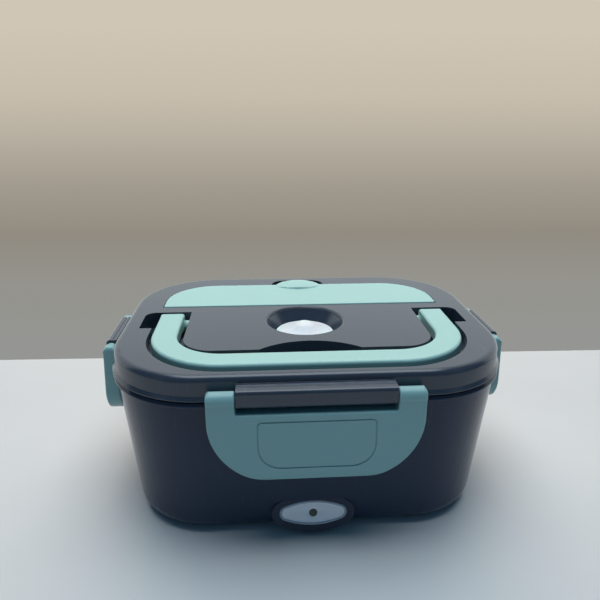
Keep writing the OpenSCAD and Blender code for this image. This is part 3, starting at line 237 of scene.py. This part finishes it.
moulding, entry, leave = shader_group("moulding", [
    ("Colour", "Color", (0.5, 0.5, 0.5, 1)), ("Mottle", "Float", 0.1), ("Roughness", "Float", 0.3),
    ("Rough Spread", "Float", 0.05), ("Grain Size", "Float", 1500.0), ("Grain", "Float", 0.3),
    ("Ripple", "Float", 0.2), ("Scuffs", "Float", 0.1), ("Worn Edge", "Float", 0.1)],
    [("Colour", "Color"), ("Roughness", "Float"), ("Height", "Float")])
place = put(moulding, "ShaderNodeTexCoord").outputs["Object"]
cloud = put(moulding, "ShaderNodeTexNoise", {"Vector": place, "Scale": 28.0, "Detail": 3.0})
grain = put(moulding, "ShaderNodeTexNoise", {"Vector": place, "Scale": entry["Grain Size"], "Detail": 2.0})
ripple = put(moulding, "ShaderNodeTexNoise", {"Vector": place, "Scale": 140.0, "Detail": 1.0})
stretched = put(moulding, "ShaderNodeMapping", {"Vector": place, "Rotation": (0.4, 0.9, 0.7),
                                                "Scale": (900.0, 25.0, 60.0)}).outputs[0]
scratch = put(moulding, "ShaderNodeTexNoise", {"Vector": stretched, "Scale": 1.0, "Detail": 2.0})
scratch = put(moulding, "ShaderNodeMapRange", {"Value": scratch.outputs["Fac"], "From Min": 0.66,
                                               "From Max": 0.78}).outputs[0]
scratch = maths(moulding, "MULTIPLY", scratch, entry["Scuffs"])
# The edges get a painted highlight: pale grey is blended in where a rounded normal leaves the real one
soft = put(moulding, "ShaderNodeBevel", {"Radius": 0.0009}, samples=4).outputs[0]
sharp = put(moulding, "ShaderNodeNewGeometry").outputs["Normal"]
same = put(moulding, "ShaderNodeVectorMath", {0: soft, 1: sharp}, operation="DOT_PRODUCT").outputs["Value"]
edge = put(moulding, "ShaderNodeMapRange", {"Value": same, "From Min": 0.995, "From Max": 0.86}).outputs[0]
edge = maths(moulding, "MULTIPLY", edge, entry["Worn Edge"])
swing = maths(moulding, "SUBTRACT", cloud.outputs["Fac"], 0.5)
light = maths(moulding, "MULTIPLY_ADD", swing, entry["Mottle"], 1.0)
tinted = put(moulding, "ShaderNodeVectorMath", {0: entry["Colour"], 3: light}, operation="SCALE").outputs[0]
# Painted highlight: the edges turn pale grey
tinted = blend_colour(moulding, edge, tinted, (0.62, 0.66, 0.68, 1))
tinted = blend_colour(moulding, maths(moulding, "MULTIPLY", scratch, 0.25), tinted, (0.7, 0.72, 0.74, 1))
rough = maths(moulding, "MULTIPLY_ADD", swing, entry["Rough Spread"], entry["Roughness"])
rough = maths(moulding, "MULTIPLY_ADD", scratch, 0.3, rough)
bumps = maths(moulding, "MULTIPLY", grain.outputs["Fac"], entry["Grain"])
bumps = maths(moulding, "MULTIPLY_ADD", ripple.outputs["Fac"], entry["Ripple"], bumps)
link_out(moulding, leave, Colour=tinted, Roughness=rough, Height=bumps)


def finish(name, group, values, bump=0.00002, rounding=0.0004, **sockets):
    """Material of one Principled shader fed by a group, with its edges softened."""
    material, tree = new_material(name)
    effect = put(tree, "ShaderNodeGroup", node_tree=group)
    for socket, value in values.items():
        effect.inputs[socket].default_value = value
    soft = put(tree, "ShaderNodeBevel", {"Radius": rounding}, samples=6).outputs[0]
    relief = put(tree, "ShaderNodeBump", {"Height": effect.outputs["Height"], "Distance": bump,
                                          "Strength": 1.0, "Normal": soft}).outputs[0]
    shader = put(tree, "ShaderNodeBsdfPrincipled", {
        "Base Color": effect.outputs["Colour"], "Roughness": effect.outputs["Roughness"],
        "Normal": relief})
    for socket, value in sockets.items():
        shader.inputs[socket.replace("_", " ")].default_value = value
    put(tree, "ShaderNodeOutputMaterial", {"Surface": shader.outputs[0]})
    return material


def dress(material, *names):
    """Gives CAD nodes their material."""
    for name in names:
        mesh = nodes[name].data
        mesh.materials.clear()
        mesh.materials.append(material)


slate_gloss = finish("slate_gloss", moulding, {
    "Colour": (0.017, 0.032, 0.066, 1), "Mottle": 0.10, "Roughness": 0.16, "Rough Spread": 0.08,
    "Grain Size": 1800.0, "Grain": 0.25, "Ripple": 0.9, "Scuffs": 0.10, "Worn Edge": 0.04},
    Specular_IOR_Level=0.3)
dress(slate_gloss, "outer_shell", "bottom_cover")


# BOTTOM SCREWS AND HEATER SCREWS
# Plated steel screws that hold the bottom cover and clamp the heater, turned bright, with a fine spin
# in the metal.
metal, entry, leave = shader_group("metal", [
    ("Colour", "Color", (0.6, 0.6, 0.6, 1)), ("Roughness", "Float", 0.3), ("Lines", "Float", 0.3),
    ("Line Scale", "Vector", (40.0, 2500.0, 2500.0)), ("Stain", "Float", 0.1)],
    [("Colour", "Color"), ("Roughness", "Float"), ("Height", "Float")])
place = put(metal, "ShaderNodeTexCoord").outputs["Object"]
drawn = put(metal, "ShaderNodeVectorMath", {0: place, 1: entry["Line Scale"]},
            operation="MULTIPLY").outputs[0]
lines = put(metal, "ShaderNodeTexNoise", {"Vector": drawn, "Scale": 1.0, "Detail": 3.0}).outputs["Fac"]
cloud = put(metal, "ShaderNodeTexNoise", {"Vector": place, "Scale": 45.0, "Detail": 4.0}).outputs["Fac"]
swing = maths(metal, "SUBTRACT", cloud, 0.5)
light = maths(metal, "MULTIPLY_ADD", swing, entry["Stain"], 1.0)
streak = maths(metal, "MULTIPLY", maths(metal, "SUBTRACT", lines, 0.5), entry["Lines"])
light = maths(metal, "MULTIPLY_ADD", streak, 0.35, light)
tinted = put(metal, "ShaderNodeVectorMath", {0: entry["Colour"], 3: light}, operation="SCALE").outputs[0]
rough = maths(metal, "MULTIPLY_ADD", streak, 0.35, entry["Roughness"])
rough = maths(metal, "MULTIPLY_ADD", swing, entry["Stain"], rough)
relief = maths(metal, "MULTIPLY", lines, entry["Lines"])
link_out(metal, leave, Colour=tinted, Roughness=rough, Height=relief)

screw_steel = finish("screw_steel", metal, {
    "Colour": (0.60, 0.60, 0.61, 1), "Roughness": 0.30, "Lines": 0.3, "Stain": 0.15}, Metallic=1.0)
dress(screw_steel, "bottom_screws", "heater_screws")


# RUBBER FEET AND PORT COVER
# Black synthetic rubber, matt and a little dusty. The feet are pushed into the bottom cover, and the
# flap over the inlets turns on its stubs.
black_rubber = finish("black_rubber", moulding, {
    "Colour": (0.022, 0.022, 0.024, 1), "Mottle": 0.5, "Roughness": 0.72, "Rough Spread": 0.2,
    "Grain Size": 1100.0, "Grain": 1.6, "Ripple": 0.3, "Scuffs": 0.25, "Worn Edge": 0.05}, bump=0.00004)
dress(black_rubber, "rubber_feet", "port_cover")


# HEAT LINER, HEATING PLATE AND ELEMENT
# The pan that the container stands in and the plate below it, of pressed aluminium with drawing lines.
# The element in its folded case is clamped under the plate.
liner_metal = finish("liner_metal", metal, {
    "Colour": (0.70, 0.71, 0.72, 1), "Roughness": 0.36, "Lines": 0.5,
    "Line Scale": (900.0, 900.0, 30.0), "Stain": 0.12}, Metallic=1.0)
dress(liner_metal, "heat_liner", "heating_plate")
element_metal = finish("element_metal", metal, {
    "Colour": (0.58, 0.57, 0.55, 1), "Roughness": 0.42, "Lines": 0.6,
    "Line Scale": (40.0, 1500.0, 1500.0), "Stain": 0.3}, Metallic=1.0)
dress(element_metal, "heater_element")


# THERMOSTAT, INLETS AND FUSE
# Black phenolic mouldings: the switch that limits the heat and the two sockets at the back. The fuse
# lies in a sleeve of woven glass.
black_moulding = finish("black_moulding", moulding, {
    "Colour": (0.02, 0.02, 0.022, 1), "Mottle": 0.3, "Roughness": 0.42, "Rough Spread": 0.1,
    "Grain Size": 1400.0, "Grain": 1.0, "Ripple": 0.3, "Scuffs": 0.1, "Worn Edge": 0.08})
dress(black_moulding, "thermostat", "ac_inlet", "dc_inlet")
fuse_sleeve = finish("fuse_sleeve", moulding, {
    "Colour": (0.74, 0.73, 0.68, 1), "Mottle": 0.3, "Roughness": 0.8, "Rough Spread": 0.1,
    "Grain Size": 2600.0, "Grain": 3.0, "Ripple": 0.3, "Scuffs": 0.0, "Worn Edge": 0.0}, bump=0.00008)
dress(fuse_sleeve, "thermal_fuse")


# LEAD WIRES
# Copper wires in red silicone sleeves, which stay soft next to the hot plate. They are laid along the
# bottom from the inlets to the heater and the board.
wire_sleeve = finish("wire_sleeve", moulding, {
    "Colour": (0.42, 0.035, 0.03, 1), "Mottle": 0.2, "Roughness": 0.5, "Rough Spread": 0.1,
    "Grain Size": 1500.0, "Grain": 0.6, "Ripple": 0.6, "Scuffs": 0.0, "Worn Edge": 0.0})
dress(wire_sleeve, "lead_wires")


# INLET PINS
# Turned brass pins with a rounded tip, pressed into the backs of the two inlets.
# They are bright and a little yellow.
pin_brass = finish("pin_brass", metal, {
    "Colour": (0.72, 0.62, 0.42, 1), "Roughness": 0.24, "Lines": 0.3,
    "Line Scale": (2500.0, 60.0, 2500.0), "Stain": 0.15}, Metallic=1.0)
dress(pin_brass, "ac_inlet_pins", "dc_inlet_pin")


# INDICATOR BOARD AND LENS
# A small glass-fibre board under green solder mask, screwed behind the shell's front wall. Its light
# shows through a dark green moulded lens in the badge.
board_mask = finish("board_mask", moulding, {
    "Colour": (0.02, 0.16, 0.07, 1), "Mottle": 0.5, "Roughness": 0.35, "Rough Spread": 0.1,
    "Grain Size": 700.0, "Grain": 1.2, "Ripple": 1.0, "Scuffs": 0.0, "Worn Edge": 0.3})
dress(board_mask, "indicator_board")
green_lens = finish("green_lens", moulding, {
    "Colour": (0.012, 0.04, 0.018, 1), "Mottle": 0.3, "Roughness": 0.18, "Rough Spread": 0.05,
    "Grain Size": 1500.0, "Grain": 0.2, "Ripple": 0.4, "Scuffs": 0.0, "Worn Edge": 0.0},
    Coat_Weight=0.4)
dress(green_lens, "indicator_lens")


# POWER BADGE
# Pale blue-white moulded plate with a raised grey lip, pressed into its oval boss on the shell.
# The lens looks out through its middle, and the rest of its face is bare.
badge_plate = finish("badge_plate", moulding, {
    "Colour": (0.95, 0.97, 1.0, 1), "Mottle": 0.10, "Roughness": 0.30, "Rough Spread": 0.05,
    "Grain Size": 2200.0, "Grain": 0.2, "Ripple": 0.4, "Scuffs": 0.05, "Worn Edge": 0.2})
badge_lip = finish("badge_lip", moulding, {
    "Colour": (0.42, 0.47, 0.54, 1), "Mottle": 0.10, "Roughness": 0.28, "Rough Spread": 0.05,
    "Grain Size": 2200.0, "Grain": 0.2, "Ripple": 0.4, "Scuffs": 0.05, "Worn Edge": 0.2})


def oval_points(width, height, inset, count):
    """Outline of four arcs, like the badge's, moved inwards by inset."""
    end = height * 0.31
    middle = width / 2 - end
    # The long arcs' radius, from which they meet the end arcs without a corner
    side = (middle ** 2 + height ** 2 / 4 - end ** 2) / (height - 2 * end)
    turn = math.atan2(middle, side - height / 2)
    points = []
    for i in range(count):
        angle = 2 * math.pi * i / count
        across, up = math.sin(angle), math.cos(angle)
        if abs(math.atan2(across, abs(up))) <= turn:
            lift = math.copysign(side - height / 2, -up)
            points.append(((side - inset) * across, lift + (side - inset) * up))
        else:
            points.append((math.copysign(middle, across) + (end - inset) * across, (end - inset) * up))
    return points


def solid_from_loops(name, loops, parts, matrix):
    """Closed mesh through equal loops of points; parts gives the material index of each band.

    With as many parts as loops the last loop joins the first, otherwise both ends are capped.
    """
    count, total = len(loops[0]), len(loops)
    mesh = bpy.data.meshes.new(name)
    faces = [((k + 1) % total * count + i, (k + 1) % total * count + (i + 1) % count,
              k * count + (i + 1) % count, k * count + i)
             for k in range(len(parts)) for i in range(count)]
    if len(parts) < total:
        faces.append(tuple(range(count)))
        faces.append(tuple(reversed(range((total - 1) * count, total * count))))
    mesh.from_pydata([tuple(matrix @ Vector(point)) for loop in loops for point in loop], [], faces)
    for k, polygon in enumerate(mesh.polygons):
        polygon.use_smooth = True
        polygon.material_index = parts[min(k // count, len(parts) - 1)]
    mesh.update()
    mesh.set_sharp_from_angle(angle=math.radians(50))
    piece = bpy.data.objects.new(name, mesh)
    bpy.context.scene.collection.objects.link(piece)
    return piece


badge_width, badge_height = 37.0, 14.2
badge_points = 144
badge_lean = math.radians(12)
badge_back, badge_face = -0.45, 0.25
# Inset from the edge, height over the plate's middle, and the material of the band that follows
badge_edge = ((0.0, badge_back, 0), (0.0, badge_face, 1), (0.25, 0.5, 1), (0.7, 0.6, 1), (1.15, 0.5, 1),
              (1.4, 0.28, 0), (1.8, badge_face, 0), (3.0, badge_face, 0))
# Radius and height of the hole that the lens fills
badge_hole = ((2.6, badge_face), (2.3, 0.15), (2.25, badge_back))
badge_low, badge_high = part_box("power_badge")
badge_middle = Vector((0, (badge_low.y + badge_high.y) / 2, (badge_low.z + badge_high.z) / 2))
badge_frame = Matrix.Translation(badge_middle) @ Matrix.Rotation(math.pi / 2 - badge_lean, 4, "X")
badge_loops, badge_parts = [], []
for inset, level, part in badge_edge:
    outline = oval_points(badge_width, badge_height, inset, badge_points)
    badge_loops.append([(x / 1000, y / 1000, level / 1000) for x, y in outline])
    badge_parts.append(part)
for radius, level in badge_hole:
    turns = [2 * math.pi * i / badge_points for i in range(badge_points)]
    badge_loops.append([(radius * math.sin(turn) / 1000, radius * math.cos(turn) / 1000, level / 1000)
                        for turn in turns])
    badge_parts.append(0)
badge = solid_from_loops("badge", badge_loops, badge_parts, badge_frame)
badge.data.materials.append(badge_plate)
badge.data.materials.append(badge_lip)
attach(badge, "base")
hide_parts("power_badge")


# STEEL CONTAINER
# The dish for the main meal: stainless steel, deep drawn in one piece, with brushed walls and a flat rim
# that rests on the liner.
container_steel = finish("container_steel", metal, {
    "Colour": (0.66, 0.66, 0.66, 1), "Roughness": 0.24, "Lines": 0.6,
    "Line Scale": (60.0, 60.0, 2600.0), "Stain": 0.08}, Metallic=1.0)
dress(container_steel, "steel_container")


# SIDE-DISH TRAY
# The small tray that hangs in one end of the container: frosted natural polypropylene, moulded thin
# enough to let some light through.
frosted_tray = finish("frosted_tray", moulding, {
    "Colour": (0.74, 0.79, 0.80, 1), "Mottle": 0.06, "Roughness": 0.42, "Rough Spread": 0.06,
    "Grain Size": 1600.0, "Grain": 0.8, "Ripple": 0.8, "Scuffs": 0.1, "Worn Edge": 0.1},
    Subsurface_Weight=0.25, Subsurface_Scale=0.002, Transmission_Weight=0.12)
dress(frosted_tray, "side_dish_tray")


# LID SHELL AND INNER PANEL
# The lid is moulded in the same slate blue polypropylene, with a finer satin on top than the base has.
# The glossy inner panel is welded in below it and carries the seal.
slate_satin = finish("slate_satin", moulding, {
    "Colour": (0.028, 0.043, 0.068, 1), "Mottle": 0.10, "Roughness": 0.24, "Rough Spread": 0.08,
    "Grain Size": 1900.0, "Grain": 0.45, "Ripple": 0.6, "Scuffs": 0.14, "Worn Edge": 0.06},
    Specular_IOR_Level=0.62)
dress(slate_satin, "lid_shell")
dress(slate_gloss, "lid_inner_panel")


# LID SEAL AND STEAM VALVE
# Milky white moulded silicone. The seal is a soft ring stretched round the inner panel, and the valve's
# dome is held by a barb below the lid and pulled up to vent steam.
white_silicone = finish("white_silicone", moulding, {
    "Colour": (0.84, 0.88, 0.90, 1), "Mottle": 0.05, "Roughness": 0.38, "Rough Spread": 0.06,
    "Grain Size": 1200.0, "Grain": 0.4, "Ripple": 0.8, "Scuffs": 0.0, "Worn Edge": 0.0},
    Subsurface_Weight=0.3, Subsurface_Scale=0.003)
dress(white_silicone, "lid_seal", "steam_valve")


cap_radius, cap_centre = 12.0, -4.8
flank_radius, flank_middle, flank_level = 35.9, 25.4, 35.8
cap_edge = 6.36
bell_radius, bell_height = 17.5, 0.0072
bell_steps, bell_points = 45, 180
flute_count, flute_depth = 12, 0.28
# Where the flutes begin on the bell, and over what width they come and go
flute_start, flute_run = 4.5, 12.5
# Radius and level of the hollow underside, the stem and its foot
bell_inside = ((17.5, 0.0), (16.3, 0.0), (16.1, 0.6), (9.0, 1.4), (4.0, 3.4), (4.0, -9.0), (0.1, -9.0))


def bell_level(radius):
    """Height of the valve's bell above its rim plane, in millimetres: a cap on a hollow flank."""
    if radius < cap_edge:
        return math.sqrt(cap_radius ** 2 - radius ** 2) + cap_centre
    return flank_level - math.sqrt(flank_radius ** 2 - (radius - flank_middle) ** 2)


valve_low, valve_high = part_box("steam_valve")
valve_frame = Matrix.Translation(((valve_low.x + valve_high.x) / 2, (valve_low.y + valve_high.y) / 2,
                                  valve_high.z - bell_height))
valve_turns = [2 * math.pi * i / bell_points for i in range(bell_points)]
valve_loops = []
for step in range(bell_steps):
    # The first loop is a tiny ring round the top
    radius = bell_radius * max(step, 0.02) / (bell_steps - 1)
    swell = math.sin(math.pi * min(max((radius - flute_start) / flute_run, 0), 1)) ** 2
    valve_loops.append([
        (radius * math.cos(turn) / 1000, radius * math.sin(turn) / 1000,
         (bell_level(radius) - flute_depth * swell * (0.5 - 0.5 * math.cos(flute_count * turn))) / 1000)
        for turn in valve_turns])
for radius, level in bell_inside:
    valve_loops.append([(radius * math.cos(turn) / 1000, radius * math.sin(turn) / 1000, level / 1000)
                        for turn in valve_turns])
valve = solid_from_loops("vent_dome", valve_loops, [0] * (len(valve_loops) - 1), valve_frame)
valve.data.materials.append(white_silicone)
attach(valve, "valve")
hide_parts("steam_valve")


# CARRY HANDLE, CUTLERY COVER AND LATCHES
# Mint green polypropylene mouldings with a satin face and softly rounded edges. The handle snaps onto
# two stubs, the cover turns on its own, and each latch turns on a pin in the lid's lugs.
mint_satin = finish("mint_satin", moulding, {
    "Colour": (0.37, 0.63, 0.575, 1), "Mottle": 0.05, "Roughness": 0.36, "Rough Spread": 0.07,
    "Grain Size": 1900.0, "Grain": 0.5, "Ripple": 0.6, "Scuffs": 0.10, "Worn Edge": 0.06},
    Subsurface_Weight=0.05, Subsurface_Scale=0.001)
dress(mint_satin, "carry_handle", "cutlery_cover")
# A darker, bluer copy of the mint for the latches is painted shade for their upright faces, which get
# little of the overhead light. The latches are the same plastic as the handle and cover.
latch_mint_painted_shade = finish("latch_mint_painted_shade", moulding, {
    "Colour": (0.24, 0.45, 0.455, 1), "Mottle": 0.05, "Roughness": 0.32, "Rough Spread": 0.07,
    "Grain Size": 1900.0, "Grain": 0.5, "Ripple": 0.6, "Scuffs": 0.10, "Worn Edge": 0.06},
    Specular_IOR_Level=0.35)
dress(latch_mint_painted_shade, "latch_front", "latch_rear", "latch_left", "latch_right")


def rounded_copy(name, width, title):
    """Copy of a CAD node with its facets joined and its long edges rounded, that stands for the node."""
    form = bmesh.new()
    form.from_mesh(nodes[name].data)
    form.transform(nodes[name].matrix_world)
    bmesh.ops.remove_doubles(form, verts=form.verts, dist=0.000005)
    bmesh.ops.dissolve_limit(form, angle_limit=math.radians(0.4), verts=form.verts, edges=form.edges)
    # Only edges between faces that are wide enough for the rounding
    chosen = []
    for edge in form.edges:
        if len(edge.link_faces) != 2 or not edge.is_convex or edge.calc_face_angle() < math.radians(32):
            continue
        if min(face.calc_area() for face in edge.link_faces) / edge.calc_length() > 1.5 * width:
            chosen.append(edge)
    bmesh.ops.bevel(form, geom=chosen, offset=width, segments=3, profile=0.5, affect="EDGES",
                    clamp_overlap=False)
    bmesh.ops.triangulate(form, faces=form.faces)
    mesh = bpy.data.meshes.new(title)
    form.to_mesh(mesh)
    form.free()
    for polygon in mesh.polygons:
        polygon.use_smooth = True
    mesh.set_sharp_from_angle(angle=math.radians(35))
    mesh.materials.append(nodes[name].data.materials[0])
    piece = bpy.data.objects.new(title, mesh)
    bpy.context.scene.collection.objects.link(piece)
    shading = piece.modifiers.new("shading", "WEIGHTED_NORMAL")
    shading.weight = 100
    shading.keep_sharp = True
    bodies = frame["record"]["behaviour"]["bodies"]
    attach(piece, next(body for body, held in bodies.items() if name in held))
    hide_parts(name)


thin_edge, latch_edge = 0.0005, 0.0009
rounded_copy("carry_handle", thin_edge, "handle_moulding")
rounded_copy("cutlery_cover", thin_edge, "cover_moulding")
rounded_copy("latch_front", latch_edge, "front_latch_moulding")
rounded_copy("latch_rear", latch_edge, "rear_latch_moulding")
rounded_copy("latch_left", latch_edge, "left_latch_moulding")
rounded_copy("latch_right", latch_edge, "right_latch_moulding")


# SPOON AND FORK
# Cutlery stamped from stainless steel sheet and polished. The two lie nested in the bay under the
# mint cover.
cutlery_steel = finish("cutlery_steel", metal, {
    "Colour": (0.72, 0.72, 0.72, 1), "Roughness": 0.14, "Lines": 0.25,
    "Line Scale": (50.0, 2500.0, 2500.0), "Stain": 0.06}, Metallic=1.0)
dress(cutlery_steel, "spoon", "fork")
